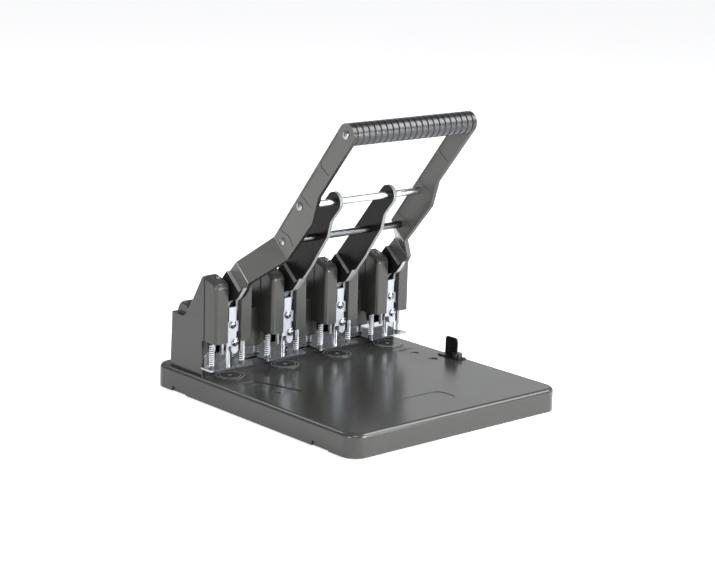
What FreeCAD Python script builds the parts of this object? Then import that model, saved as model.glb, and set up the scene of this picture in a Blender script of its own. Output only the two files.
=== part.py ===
"""Four-hole lever punch for thick paper stacks: a flat base that carries four punching heads
80 mm apart, and one long handle that drives all four hollow punches down together.

Millimetres. +X runs along the row of heads, +Y from the front edge to the back, +Z up.
The origin is on the ground, under the middle of the base.
"""
import FreeCAD, Part
import math
import os

# Driving dimensions of the whole machine
BASE_WIDTH = 310.0
BASE_DEPTH = 353.0
BASE_HEIGHT = 26.7
HEAD_MARGIN = 35.0
HEAD_COUNT = 4
FOOT_LIFT = 1.5
GRIP_FORWARD = 166.5
GRIP_RISE = 205.0

# Clearances and fits shared by several pieces
OVERRUN = 1.0
SEAT_GAP = 0.02
RUNNING_GAP = 0.05
SIDE_GAP = 0.5

# Base cover, its wall and its rounded edges
BASE_WALL = 3.0
BASE_CORNER = 18.0
BASE_EDGE = 5.0
NOTCH_LENGTH = 27.0
NOTCH_HEIGHT = 5.5
NOTCH_FRONT_SHARE = 0.70
NOTCH_BACK_SHARE = 0.72
PANEL_LENGTH = 66.0
PANEL_DEPTH = 33.0
PANEL_CORNER = 12.0
PANEL_SINK = 0.5
PANEL_FRONT_SHARE = 0.69
POCKET_SINK = 0.9
POCKET_LENGTH = 64.0
POCKET_WIDTH = 29.0
POCKET_SLANT = 19.0
POCKET_AHEAD = 35.8
POCKET_MARGIN = 45.0
GUIDE_HOLE_MARGIN = 35.5
GUIDE_HOLE_AHEAD = 70.3
GUIDE_HOLE_STEP = 33.0
GUIDE_SINK_RADIUS = 5.5
GUIDE_SINK_DEPTH = 1.2

# Bottom plate, feet and chip tray
PLATE_THICK = 2.0
PLATE_SINK = 1.0
FOOT_RADIUS = 9.0
FOOT_TOP_RADIUS = 7.5
FOOT_SIDE_SHARE = 0.89
FOOT_END_SHARE = 0.71
TRAY_MARGIN = 23.0
TRAY_AHEAD = 25.8
TRAY_BEHIND = 30.2
TRAY_HEIGHT = 14.0
TRAY_WALL = 1.6
TRAY_CORNER = 6.0

# Cutting discs under the punches
DISC_RADIUS = 17.0
DISC_THICK = 2.4
DISC_PROUD = 1.0
DISC_FORWARD = 4.9
DISC_DIMPLE = 1.2
DISC_EDGE = 0.4
RIM_RADIUS = 19.6
RIM_PROUD = 0.6

# Punch line, stripper plates, rail and paper stop
PUNCH_MARGIN = 94.7
STRIPPER_HALF = 30.0
STRIPPER_THICK = 2.0
STRIPPER_FRONT = 8.8
STRIPPER_CORNER = 2.5
STRIPPER_TAB_HALF = 24.0
THROAT_HEIGHT = 9.3
RAIL_MARGIN = 11.2
RAIL_HEIGHT = 13.0
RAIL_THICK = 4.0
HOLE_MARGIN = 12.2
STOP_THICK = 3.4

# Punch pin, guide posts and return springs
PIN_RADIUS = 3.0
PIN_BORE_RADIUS = 2.2
PIN_TIP_DROP = 1.2
POST_OFFSET_X = 21.5
POST_OFFSET_Y = 1.7
POST_RADIUS = 1.75
POST_HEIGHT = 50.0
WASHER_RADIUS = 3.6
WASHER_THICK = 1.2
SPRING_RADIUS = 2.7
SPRING_WIRE = 0.5
SPRING_TURNS = 8
SPRING_RUNS = 8
MITRED = 1
WIRE_SIDES = 3

# Carriage: crosshead with the upright drive bar
CROSS_BOTTOM = 27.5
CROSS_HEIGHT = 16.0
CROSS_HALF = 18.0
CROSS_FRONT = 3.8
CROSS_BACK = 6.2
CROSS_END_RADIUS = 3.5
DRIVE_INNER = 5.5
DRIVE_OUTER = 9.0
DRIVE_BACK = 4.2
DRIVE_HEAD_FRONT = 6.3
DRIVE_HEAD_DROP = 19.0
DRIVE_NECK_DROP = 29.0
DRIVE_TOP = 9.5

# Front bar with its tongue and clamp lug, and its two screws
BAR_THICK = 4.3
BAR_LEFT = 8.0
BAR_RIGHT = 5.5
BAR_EAR = 8.5
BAR_LOW = 24.5
BAR_EAR_LOW = 40.5
BAR_EAR_HIGH = 53.0
TONGUE_HALF = 5.0
TONGUE_DROP = 8.1
LUG_X = 3.5
LUG_RADIUS = 4.6
LUG_LOW = 15.0
SCREW_HEAD_RADIUS = 4.5
SCREW_HEAD_HEIGHT = 2.6
SCREW_HIGH = 49.3
SCREW_LOW = 28.0

# Head frame: two side plates, a rear web and feet
FRAME_INNER = 11.9
FRAME_THICK = 3.0
FRAME_AHEAD = 7.8
FRAME_BEHIND = 35.2
FRAME_LEG = 3.5
FRAME_WINDOW = 12.0
FRAME_WINDOW_LOW = 15.9
FRAME_WINDOW_HIGH = 44.5
FRAME_FLANGE = 9.0
FRAME_SHOULDER_DROP = 13.0
FRAME_CROWN = 15.0
FRAME_CROWN_HALF = 2.5
FRAME_NOSE_BACK = 5.0
FRAME_NOSE_DROP = 3.5
FRAME_SLOPE_BACK = 9.0
FRAME_SLOPE_DROP = 2.5
FRAME_HEEL_BACK = 24.0
FRAME_HEEL_DROP = 20.5
FRAME_END_DROP = 27.0

# Handle pivot and the crank that drives the carriage
PIVOT_BEHIND = 8.7
PIVOT_Z = 117.0
PIVOT_RADIUS = 4.0
PIVOT_HEAD_RADIUS = 6.0
PIVOT_HEAD_THICK = 2.0
HUB_RADIUS = 13.0
CRANK_RADIUS = 9.8
CRANK_ANGLE = 22.5
CRANK_PIN_RADIUS = 2.5
CRANK_SLOT_GAP = 0.2
CRANK_PIN_END = 8.9

# Handle arms
ARM_THICK = 5.0
ARM_BOSS_RADIUS = 12.5
ARM_EYE_RADIUS = 11.5
ARM_JOG = 32.0
ARM_ANGLE = 48.0
JOG_START = 47.9
JOG_END = 87.8
CRANK_PLATE_THICK = 5.0
ROD_RADIUS = 4.0
UPPER_ROD_SHARES = (0.556, 0.567)
LOWER_ROD_SHARES = (0.381, 0.350)
ARM_PANEL_SINK = 0.6
# Shares of the grip's forward reach and of its rise above the pivot
REAR_EDGE_SHARES = ((0.290, 0.364), (0.063, 0.161))
FRONT_EDGE_SHARES = ((0.740, 0.641), (0.683, 0.492), (0.430, 0.254), (0.267, 0.121))
EYE_FRONT_SHARES = ((0.528, 0.453), (0.498, 0.365), (0.414, 0.271), (0.335, 0.178))
EYE_REAR_SHARES = ((0.384, 0.493), (0.223, 0.333), (0.051, 0.166))
TOE_SHARES = ((0.252, 0.095), (0.231, 0.068), (0.189, 0.026), (0.160, 0.010), (0.117, 0.005))
STRIP_SHARES = ((0.063, 0.161), (0.202, 0.066))
# Recesses of the outer arms: next to the grip, above the upper rod and between the rods
GRIP_PANEL_SHARES = (
    (0.915, 0.998),
    (0.752, 0.829),
    (0.762, 0.806),
    (0.839, 0.764),
    (0.985, 0.911),
    (0.945, 0.930),
    (0.920, 0.962),
)
UPPER_PANEL_SHARES = (
    (0.727, 0.796),
    (0.564, 0.634),
    (0.572, 0.622),
    (0.600, 0.612),
    (0.632, 0.590),
    (0.660, 0.577),
    (0.690, 0.580),
    (0.718, 0.640),
    (0.817, 0.741),
)
LOWER_PANEL_SHARES = (
    (0.486, 0.553),
    (0.360, 0.423),
    (0.364, 0.409),
    (0.394, 0.400),
    (0.440, 0.392),
    (0.463, 0.368),
    (0.494, 0.338),
    (0.669, 0.502),
    (0.676, 0.520),
    (0.640, 0.528),
    (0.604, 0.520),
    (0.565, 0.514),
    (0.530, 0.527),
)

# Grip
GRIP_RADIUS = 12.5
GRIP_BAR_RADIUS = 5.0
GRIP_GROOVES = 19
GRIP_GROOVE_WIDTH = 2.0
GRIP_GROOVE_DEPTH = 1.3
GRIP_COLLAR = 9.0
GRIP_EDGE = 2.0
RIVET_RADIUS = 4.6
RIVET_HEIGHT = 2.4

# Head covers: two lobes with a slot between them, and a hood that slopes down to the rear
COVER_HALF = 27.0
COVER_WALL = 3.0
COVER_STEP = 0.8
COVER_AHEAD = 12.9
COVER_LOW = 69.5
COVER_SLOT_HALF = 9.4
COVER_SLOT_WALL = 1.6
COVER_SLOT_BEHIND = 23.7
COVER_SHOULDER_RISE = 16.3
COVER_BROW_AHEAD = 4.8
COVER_BROW_RISE = 24.8
COVER_CREST_BEHIND = 9.2
COVER_CREST_RISE = 28.5
COVER_CREASE_BEHIND = 10.2
COVER_SLOPE_BEHIND = 18.0
COVER_SLOPE_RISE = 22.1
COVER_HEEL_BEHIND = 43.0
COVER_HOOD_EDGE = 2.4
COVER_LOBE_EDGE = 4.5
BROW_BULGE_SHARE = 0.30
SLOPE_BULGE_SHARE = 0.35

# Rear housing: low end walls, and a rounded hump between them
HOUSING_WALL = 3.0
HOUSING_AHEAD = 13.5
HOUSING_MARGIN = 18.5
HOUSING_LEDGE = 97.0
HOUSING_VALLEY_Z = 91.2
HOUSING_VALLEY_BEHIND = 51.2
HOUSING_REAR_TOP = 91.8
HOUSING_REAR_LEAN = 3.0
HOUSING_CORNER = 4.0
HOUSING_WINDOW_HALF = 17.0
HOUSING_WINDOW_BEHIND = 34.7
HUMP_END = 6.5
HUMP_LOW = 84.0
HUMP_FRONT_BEHIND = 45.2
HUMP_FRONT_Z = 99.0
HUMP_CROWN_BEHIND = 56.2
HUMP_CROWN_Z = 105.7
HUMP_BACK_BEHIND = 71.5
HUMP_BACK_Z = 92.5
HUMP_EDGE = 4.5

# Paper guide and its thumb screw
GUIDE_MARGIN = 6.5
GUIDE_THICK = 1.6
GUIDE_HEIGHT = 22.0
GUIDE_BACK = 5.0
GUIDE_LENGTH = 20.0
GUIDE_CORNER = 4.0
GUIDE_TAB_FRONT = 14.0
GUIDE_TAB_INNER = 11.5
GUIDE_SLOT_RADIUS = 2.4
GUIDE_TRAVEL = 4.0
THUMB_INWARD = 5.0
THUMB_RADIUS = 6.0
THUMB_HEIGHT = 5.0
THUMB_FLATS = 8
THUMB_NOTCH = 0.9
THUMB_SHANK_RADIUS = 2.0
THUMB_SHANK = 8.0

# Heights and places that follow from the values above
HEAD_PITCH = (BASE_WIDTH - 2 * HEAD_MARGIN) / (HEAD_COUNT - 1)
PUNCH_Y = BASE_DEPTH / 2 - PUNCH_MARGIN
PIVOT_Y = PUNCH_Y + PIVOT_BEHIND
COVER_SHOULDER = PIVOT_Z + COVER_SHOULDER_RISE
COVER_BROW_Z = PIVOT_Z + COVER_BROW_RISE
COVER_CREST_Z = PIVOT_Z + COVER_CREST_RISE
COVER_SLOPE_Z = PIVOT_Z + COVER_SLOPE_RISE
POCKET_BACK = PUNCH_Y - POCKET_AHEAD
POCKET_INNER = BASE_WIDTH / 2 - POCKET_MARGIN
GUIDE_HOLE_X = BASE_WIDTH / 2 - GUIDE_HOLE_MARGIN
GUIDE_HOLE_Y = PUNCH_Y - GUIDE_HOLE_AHEAD
TRAY_HALF_LENGTH = BASE_WIDTH / 2 - TRAY_MARGIN
TRAY_FRONT = PUNCH_Y - TRAY_AHEAD
TRAY_BACK = PUNCH_Y + TRAY_BEHIND
RAIL_HALF_LENGTH = BASE_WIDTH / 2 - RAIL_MARGIN
FRAME_FRONT = PUNCH_Y - FRAME_AHEAD
FRAME_BACK = PUNCH_Y + FRAME_BEHIND
COVER_FRONT = PUNCH_Y - COVER_AHEAD
COVER_SLOT_BACK = PUNCH_Y + COVER_SLOT_BEHIND
COVER_BROW_Y = PUNCH_Y - COVER_BROW_AHEAD
COVER_CREST_Y = PUNCH_Y + COVER_CREST_BEHIND
COVER_CREASE_Y = PUNCH_Y + COVER_CREASE_BEHIND
COVER_SLOPE_Y = PUNCH_Y + COVER_SLOPE_BEHIND
COVER_HEEL_Y = PUNCH_Y + COVER_HEEL_BEHIND
HOUSING_HALF = (HEAD_COUNT - 1) / 2 * HEAD_PITCH + COVER_HALF
HOUSING_FRONT = PUNCH_Y + HOUSING_AHEAD
HOUSING_BACK = BASE_DEPTH / 2 - HOUSING_MARGIN
HOUSING_VALLEY_Y = PUNCH_Y + HOUSING_VALLEY_BEHIND
HOUSING_WINDOW_BACK = PUNCH_Y + HOUSING_WINDOW_BEHIND
HUMP_FRONT_Y = PUNCH_Y + HUMP_FRONT_BEHIND
HUMP_CROWN_Y = PUNCH_Y + HUMP_CROWN_BEHIND
HUMP_BACK_Y = PUNCH_Y + HUMP_BACK_BEHIND
GUIDE_FACE_X = BASE_WIDTH / 2 - GUIDE_MARGIN
THUMB_X = GUIDE_FACE_X - THUMB_INWARD
THUMB_Y = GUIDE_LENGTH - GUIDE_BACK + THUMB_RADIUS
BASE_TOP = FOOT_LIFT + BASE_HEIGHT
BASE_CEILING = BASE_TOP - BASE_WALL
PLATE_LOW = FOOT_LIFT + PLATE_SINK
PLATE_TOP = PLATE_LOW + PLATE_THICK
STRIPPER_LOW = BASE_TOP + THROAT_HEIGHT
STRIPPER_TOP = STRIPPER_LOW + STRIPPER_THICK
RAIL_FRONT = PUNCH_Y + HOLE_MARGIN
RAIL_BACK = RAIL_FRONT + RAIL_THICK
RAIL_TOP = STRIPPER_TOP + RAIL_HEIGHT
CROSS_LOW = STRIPPER_TOP + CROSS_BOTTOM
CROSS_TOP = CROSS_LOW + CROSS_HEIGHT
POST_Y = PUNCH_Y + POST_OFFSET_Y
GRIP_Y = PIVOT_Y - GRIP_FORWARD
GRIP_Z = PIVOT_Z + GRIP_RISE
ARM_LEFT = -(HEAD_COUNT - 1) / 2 * HEAD_PITCH + ARM_JOG
ARM_RIGHT = (HEAD_COUNT - 1) / 2 * HEAD_PITCH - ARM_JOG + ARM_THICK

vector = FreeCAD.Vector
X_AXIS = vector(1, 0, 0)
Y_AXIS = vector(0, 1, 0)
Z_AXIS = vector(0, 0, 1)


def box(x0, x1, y0, y1, z0, z1):
    """Box between two values on each axis."""
    return Part.makeBox(x1 - x0, y1 - y0, z1 - z0, vector(x0, y0, z0))


def post(radius, x, y, z0, z1):
    """Upright round bar."""
    return Part.makeCylinder(radius, z1 - z0, vector(x, y, z0), Z_AXIS)


def shaft(radius, x0, x1, y, z):
    """Round bar along X."""
    return Part.makeCylinder(radius, x1 - x0, vector(x0, y, z), X_AXIS)


def side_plate(points, x0, x1):
    """Plate with an outline in Y and Z, from x0 to x1."""
    corners = [vector(x0, y, z) for y, z in points]
    return Part.Face(Part.makePolygon(corners + corners[:1])).extrude(vector(x1 - x0, 0, 0))


def is_along(edge, axis):
    """Whether a straight edge runs along an axis."""
    if not isinstance(edge.Curve, Part.Line):
        return False
    return abs(edge.tangentAt(edge.FirstParameter).dot(axis)) > math.cos(math.radians(1))


def round_upright(shape, radius):
    """Rounds every upright straight edge of a prism."""
    return shape.makeFillet(radius, [edge for edge in shape.Edges if is_along(edge, Z_AXIS)])


def edges_at_height(shape, z):
    """Edges that lie wholly at one height."""
    level = SEAT_GAP
    return [e for e in shape.Edges if abs(e.BoundBox.ZMin - z) < level and abs(e.BoundBox.ZMax - z) < level]


def head_xs():
    """Places of the heads along X."""
    return [(index - (HEAD_COUNT - 1) / 2) * HEAD_PITCH for index in range(HEAD_COUNT)]


def polar(radius, angle):
    """Point in Y and Z at an angle above the forward horizontal of the pivot."""
    turn = math.radians(angle)
    return PIVOT_Y - radius * math.cos(turn), PIVOT_Z + radius * math.sin(turn)


def lever_point(shares):
    """Point of the handle, as shares of the grip's forward reach and rise."""
    return PIVOT_Y - GRIP_FORWARD * shares[0], PIVOT_Z + GRIP_RISE * shares[1]


def fused(shapes):
    """One solid from overlapping shapes."""
    return shapes[0].multiFuse(shapes[1:]).removeSplitter()


# Base


def base_outline(inset, z0, z1):
    """Rounded block that follows the base's outline at some distance inside it."""
    half_x = BASE_WIDTH / 2 - inset
    half_y = BASE_DEPTH / 2 - inset
    block = box(-half_x, half_x, -half_y, half_y, z0, z1)
    return round_upright(block, BASE_CORNER - inset)


def side_notches():
    """Cut-aways at the bottom of both side skirts."""
    half = BASE_WIDTH / 2 + OVERRUN
    top = FOOT_LIFT + NOTCH_HEIGHT
    places = (-BASE_DEPTH / 2 * NOTCH_FRONT_SHARE, BASE_DEPTH / 2 * NOTCH_BACK_SHARE)
    low = FOOT_LIFT - OVERRUN
    notches = []
    for y in places:
        for x0, x1 in ((-half, -half + BASE_WALL), (half - BASE_WALL, half)):
            notches.append(box(x0, x1, y - NOTCH_LENGTH / 2, y + NOTCH_LENGTH / 2, low, top))
    return notches


def front_panel():
    """Shallow rounded recess near the front edge."""
    y = -BASE_DEPTH / 2 * PANEL_FRONT_SHARE
    half_x = PANEL_LENGTH / 2
    half_y = PANEL_DEPTH / 2
    block = box(-half_x, half_x, y - half_y, y + half_y, BASE_TOP - PANEL_SINK, BASE_TOP + OVERRUN)
    return round_upright(block, PANEL_CORNER)


def side_pocket(side):
    """Sloped pocket beside the heads, deepest along its inner edge."""
    deep = BASE_TOP - POCKET_SINK
    inner = POCKET_INNER
    outer = POCKET_INNER + POCKET_WIDTH
    front = POCKET_BACK - POCKET_LENGTH
    corners = [
        vector(side * outer, POCKET_BACK, BASE_TOP),
        vector(side * inner, POCKET_BACK, deep),
        vector(side * (inner - POCKET_SLANT), front, deep),
        vector(side * (outer - POCKET_SLANT), front, BASE_TOP),
    ]
    return Part.Face(Part.makePolygon(corners + corners[:1])).extrude(vector(0, 0, POCKET_SINK + OVERRUN))


def guide_holes():
    """Round sinks that mark a paper guide's other places."""
    holes = []
    for side in (-1, 1):
        for row in (-1, 1):
            x = side * GUIDE_HOLE_X
            y = GUIDE_HOLE_Y + row * GUIDE_HOLE_STEP / 2
            holes.append(post(GUIDE_SINK_RADIUS, x, y, BASE_TOP - GUIDE_SINK_DEPTH, BASE_TOP + OVERRUN))
    return holes


def base_cover():
    """Moulded top of the base: a shallow shell with disc seats, pockets and guide holes."""
    shell = base_outline(0, FOOT_LIFT, BASE_TOP)
    shell = shell.makeFillet(BASE_EDGE, edges_at_height(shell, BASE_TOP))
    shell = shell.cut(base_outline(BASE_WALL, FOOT_LIFT - OVERRUN, BASE_CEILING))
    seats = []
    for x in head_xs():
        y = PUNCH_Y - DISC_FORWARD
        shell = shell.fuse(post(RIM_RADIUS, x, y, BASE_CEILING, BASE_TOP + RIM_PROUD))
        low = BASE_TOP + DISC_PROUD - DISC_THICK
        seats.append(post(DISC_RADIUS + SEAT_GAP, x, y, low, BASE_TOP + OVERRUN))
    bore = THUMB_SHANK_RADIUS + RUNNING_GAP
    thread = post(bore, THUMB_X, -THUMB_Y, BASE_CEILING - OVERRUN, BASE_TOP + OVERRUN)
    half = BASE_WIDTH / 2
    level = box(-half, half, RAIL_FRONT - SEAT_GAP, RAIL_BACK, BASE_TOP, BASE_TOP + RIM_PROUD + OVERRUN)
    cuts = seats + [thread, level, front_panel(), side_pocket(-1), side_pocket(1)]
    cuts += side_notches() + guide_holes()
    return shell.cut(cuts)


def base_plate():
    """Sheet that closes the base from below, with a window for the chip tray."""
    sheet = base_outline(BASE_WALL + RUNNING_GAP, PLATE_LOW, PLATE_TOP)
    window = tray_outline(0, PLATE_LOW - OVERRUN, PLATE_TOP + OVERRUN)
    return sheet.cut(window)


def tray_outline(inset, z0, z1):
    """Rounded block that follows the chip tray at some distance inside it."""
    half = TRAY_HALF_LENGTH - inset
    block = box(-half, half, TRAY_FRONT + inset, TRAY_BACK - inset, z0, z1)
    return round_upright(block, TRAY_CORNER - inset)


def chip_tray():
    """Tray under the heads that closes the window in the bottom plate."""
    tray = tray_outline(RUNNING_GAP, PLATE_LOW, PLATE_LOW + TRAY_HEIGHT)
    inside = tray_outline(TRAY_WALL, PLATE_LOW + TRAY_WALL, PLATE_LOW + TRAY_HEIGHT + OVERRUN)
    return tray.cut(inside)


def feet():
    """Four tapered rubber feet."""
    height = PLATE_LOW
    solids = []
    for side in (-1, 1):
        for end in (-1, 1):
            x = side * BASE_WIDTH / 2 * FOOT_SIDE_SHARE
            y = end * BASE_DEPTH / 2 * FOOT_END_SHARE
            solids.append(Part.makeCone(FOOT_TOP_RADIUS, FOOT_RADIUS, height, vector(x, y, 0), Z_AXIS))
    return Part.makeCompound(solids)


# Cutting discs, stripper plates, rail and paper stop


def die_disc(x):
    """Cutting disc with a softened edge and a centre dimple."""
    top = BASE_TOP + DISC_PROUD
    y = PUNCH_Y - DISC_FORWARD
    disc = post(DISC_RADIUS, x, y, top - DISC_THICK, top)
    disc = disc.makeChamfer(DISC_EDGE, edges_at_height(disc, top))
    dimple = Part.makeCone(0, DISC_DIMPLE, DISC_DIMPLE, vector(x, y, top - DISC_DIMPLE), Z_AXIS)
    return disc.cut(dimple)


def stripper_plate(x):
    """Polished plate that holds the paper down and guides the punch pin."""
    front = PUNCH_Y - STRIPPER_FRONT
    blade = box(x - STRIPPER_HALF, x + STRIPPER_HALF, front, RAIL_FRONT, STRIPPER_LOW, STRIPPER_TOP)
    blade = round_upright(blade, STRIPPER_CORNER)
    aside = STRIPPER_TAB_HALF
    tab = box(x - aside, x + aside, RAIL_FRONT - OVERRUN, RAIL_BACK, STRIPPER_LOW, STRIPPER_TOP)
    plate = fused([blade, tab])
    low = STRIPPER_LOW - OVERRUN
    high = STRIPPER_TOP + OVERRUN
    return plate.cut(post(PIN_RADIUS + RUNNING_GAP, x, PUNCH_Y, low, high))


def frame_rail():
    """Polished rail that joins the heads, above the stripper plates' tabs."""
    return box(-RAIL_HALF_LENGTH, RAIL_HALF_LENGTH, RAIL_FRONT, RAIL_BACK, STRIPPER_TOP, RAIL_TOP)


def back_stop():
    """Strip on the base that the paper is pushed against."""
    back = RAIL_FRONT + STOP_THICK
    return box(-RAIL_HALF_LENGTH, RAIL_HALF_LENGTH, RAIL_FRONT, back, BASE_TOP, STRIPPER_LOW)


# Head frame, pivot and guide posts


def frame_outline():
    """Side view of a frame plate: two legs with a guide window, and a crown at the pivot."""
    window_front = FRAME_FRONT + FRAME_LEG
    window_back = window_front + FRAME_WINDOW
    low = STRIPPER_TOP + FRAME_WINDOW_LOW
    high = STRIPPER_TOP + FRAME_WINDOW_HIGH
    return [
        (RAIL_BACK, BASE_TOP),
        (RAIL_BACK, low),
        (window_back, low),
        (window_back, high),
        (window_front, high),
        (window_front, low),
        (FRAME_FRONT, low),
        (FRAME_FRONT, PIVOT_Z - FRAME_SHOULDER_DROP),
        (FRAME_FRONT + FRAME_NOSE_BACK, PIVOT_Z + FRAME_CROWN - FRAME_NOSE_DROP),
        (PIVOT_Y - FRAME_CROWN_HALF, PIVOT_Z + FRAME_CROWN),
        (PIVOT_Y + FRAME_CROWN_HALF, PIVOT_Z + FRAME_CROWN),
        (PIVOT_Y + FRAME_SLOPE_BACK, PIVOT_Z + FRAME_SLOPE_DROP),
        (PIVOT_Y + FRAME_HEEL_BACK, PIVOT_Z - FRAME_HEEL_DROP),
        (FRAME_BACK, PIVOT_Z - FRAME_END_DROP),
        (FRAME_BACK, BASE_TOP),
    ]


def head_frame(x):
    """Folded steel frame of one head: side plates, rear web and two feet."""
    outer = FRAME_INNER + FRAME_THICK
    outline = frame_outline()
    left = side_plate(outline, x - outer, x - FRAME_INNER)
    right = side_plate(outline, x + FRAME_INNER, x + outer)
    web_front = FRAME_BACK - FRAME_THICK
    web = box(x - outer, x + outer, web_front, FRAME_BACK, BASE_TOP, PIVOT_Z - FRAME_END_DROP)
    reach = outer + FRAME_FLANGE
    foot = box(x - reach, x + reach, RAIL_BACK, FRAME_BACK, BASE_TOP, BASE_TOP + FRAME_THICK)
    aside = FRAME_INNER
    over = BASE_TOP + FRAME_THICK + OVERRUN
    gap = box(x - aside, x + aside, RAIL_BACK - OVERRUN, web_front, BASE_TOP - OVERRUN, over)
    bore = shaft(PIVOT_RADIUS + SEAT_GAP, x - reach, x + reach, PIVOT_Y, PIVOT_Z)
    return fused([left, right, web, foot.cut(gap)]).cut(bore)


def pivot_pins():
    """Four headed pins that the handle turns on."""
    outer = FRAME_INNER + FRAME_THICK
    pins = []
    for x in head_xs():
        pin = shaft(PIVOT_RADIUS, x - outer - PIVOT_HEAD_THICK, x + outer, PIVOT_Y, PIVOT_Z)
        head = shaft(PIVOT_HEAD_RADIUS, x - outer - PIVOT_HEAD_THICK, x - outer, PIVOT_Y, PIVOT_Z)
        pins.append(fused([pin, head]))
    return Part.makeCompound(pins)


def guide_posts():
    """Eight posts with their washers, standing on the stripper plates."""
    solids = []
    for x in head_xs():
        for side in (-1, 1):
            place = x + side * POST_OFFSET_X
            bar = post(POST_RADIUS, place, POST_Y, STRIPPER_TOP, STRIPPER_TOP + POST_HEIGHT)
            washer = post(WASHER_RADIUS, place, POST_Y, STRIPPER_TOP, STRIPPER_TOP + WASHER_THICK)
            solids.append(fused([bar, washer]))
    return Part.makeCompound(solids)


# Return springs


def coil_points(x, y, z0, z1):
    """Points on a spring's centre line, from its lower end to its upper end."""
    low = z0 + SPRING_WIRE
    high = z1 - SPRING_WIRE
    steps = SPRING_TURNS * SPRING_RUNS
    points = []
    for step in range(steps + 1):
        angle = math.tau * step / SPRING_RUNS
        z = low + (high - low) * step / steps
        points.append(vector(x + SPRING_RADIUS * math.cos(angle), y + SPRING_RADIUS * math.sin(angle), z))
    return points


def spring(x, y, z0, z1):
    """One unbroken coil of wire between two heights."""
    points = coil_points(x, y, z0, z1)
    run = (points[1] - points[0]).normalize()
    outward = X_AXIS
    upward = run.cross(outward).normalize()
    outward = upward.cross(run)
    ring = []
    for side in range(WIRE_SIDES):
        angle = math.tau * side / WIRE_SIDES
        offset = outward * (SPRING_WIRE * math.cos(angle)) + upward * (SPRING_WIRE * math.sin(angle))
        ring.append(points[0] + offset)
    profile = Part.makePolygon(ring + ring[:1])
    return Part.makePolygon(points).makePipeShell([profile], True, False, MITRED)


def spring_gap():
    """Least gap between neighbouring turns, measured on points of the centre line."""
    points = coil_points(0, 0, STRIPPER_TOP + WASHER_THICK, CROSS_LOW)
    least = min(
        (points[later] - points[early]).Length
        for early in range(len(points))
        for later in range(early + SPRING_RUNS // 2, len(points))
    )
    return least - 2 * SPRING_WIRE


def return_springs(x):
    """Pair of springs that lift one carriage."""
    z0 = STRIPPER_TOP + WASHER_THICK
    solids = [spring(x + side * POST_OFFSET_X, POST_Y, z0, CROSS_LOW) for side in (-1, 1)]
    return Part.makeCompound(solids)


# Carriage, punch pin and front bar


def drive_outline():
    """Side view of the upright drive bar, wider at its slotted head."""
    front = PUNCH_Y - CROSS_FRONT
    back = PUNCH_Y + DRIVE_BACK
    head_front = PUNCH_Y - DRIVE_HEAD_FRONT
    top = PIVOT_Z + DRIVE_TOP
    low = CROSS_TOP - OVERRUN
    return [
        (front, low),
        (front, top - DRIVE_NECK_DROP),
        (head_front, top - DRIVE_HEAD_DROP),
        (head_front, top),
        (back, top),
        (back, low),
    ]


def crank_slot(x0, x1):
    """Slot that the crank pin works in, as long as the pin's arc is deep."""
    start_y, start_z = polar(CRANK_RADIUS, CRANK_ANGLE)
    front_y = PIVOT_Y - CRANK_RADIUS
    radius = CRANK_PIN_RADIUS + CRANK_SLOT_GAP
    rear = shaft(radius, x0, x1, start_y, start_z)
    front = shaft(radius, x0, x1, front_y, start_z)
    middle = box(x0, x1, front_y, start_y, start_z - radius, start_z + radius)
    return fused([rear, front, middle])


def carriage(x):
    """Crosshead that slides on the posts, with the drive bar that the crank pin moves."""
    front = PUNCH_Y - CROSS_FRONT
    back = PUNCH_Y + CROSS_BACK
    parts = [box(x - CROSS_HALF, x + CROSS_HALF, front, back, CROSS_LOW, CROSS_TOP)]
    for side in (-1, 1):
        place = x + side * POST_OFFSET_X
        ends = sorted((x + side * (CROSS_HALF - OVERRUN), place))
        low_y = POST_Y - CROSS_END_RADIUS
        parts.append(box(ends[0], ends[1], low_y, low_y + 2 * CROSS_END_RADIUS, CROSS_LOW, CROSS_TOP))
        parts.append(post(CROSS_END_RADIUS, place, POST_Y, CROSS_LOW, CROSS_TOP))
    parts.append(side_plate(drive_outline(), x + DRIVE_INNER, x + DRIVE_OUTER))
    low = CROSS_LOW - OVERRUN
    high = CROSS_TOP + OVERRUN
    cuts = [post(PIN_RADIUS + SEAT_GAP, x, PUNCH_Y, low, high)]
    for side in (-1, 1):
        cuts.append(post(POST_RADIUS + RUNNING_GAP, x + side * POST_OFFSET_X, POST_Y, low, high))
    cuts.append(crank_slot(x + DRIVE_INNER - OVERRUN, x + DRIVE_OUTER + OVERRUN))
    return fused(parts).cut(cuts)


def punch_pin(x):
    """Hollow punch with a bevelled cutting edge."""
    low = STRIPPER_TOP - PIN_TIP_DROP
    pin = post(PIN_RADIUS, x, PUNCH_Y, low, CROSS_TOP)
    mouth = PIN_RADIUS - RUNNING_GAP
    bevel = PIN_RADIUS - PIN_BORE_RADIUS
    bore = post(PIN_BORE_RADIUS, x, PUNCH_Y, low - OVERRUN, CROSS_TOP + OVERRUN)
    cone = Part.makeCone(mouth, PIN_BORE_RADIUS, bevel, vector(x, PUNCH_Y, low), Z_AXIS)
    return pin.cut([bore, cone])


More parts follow.
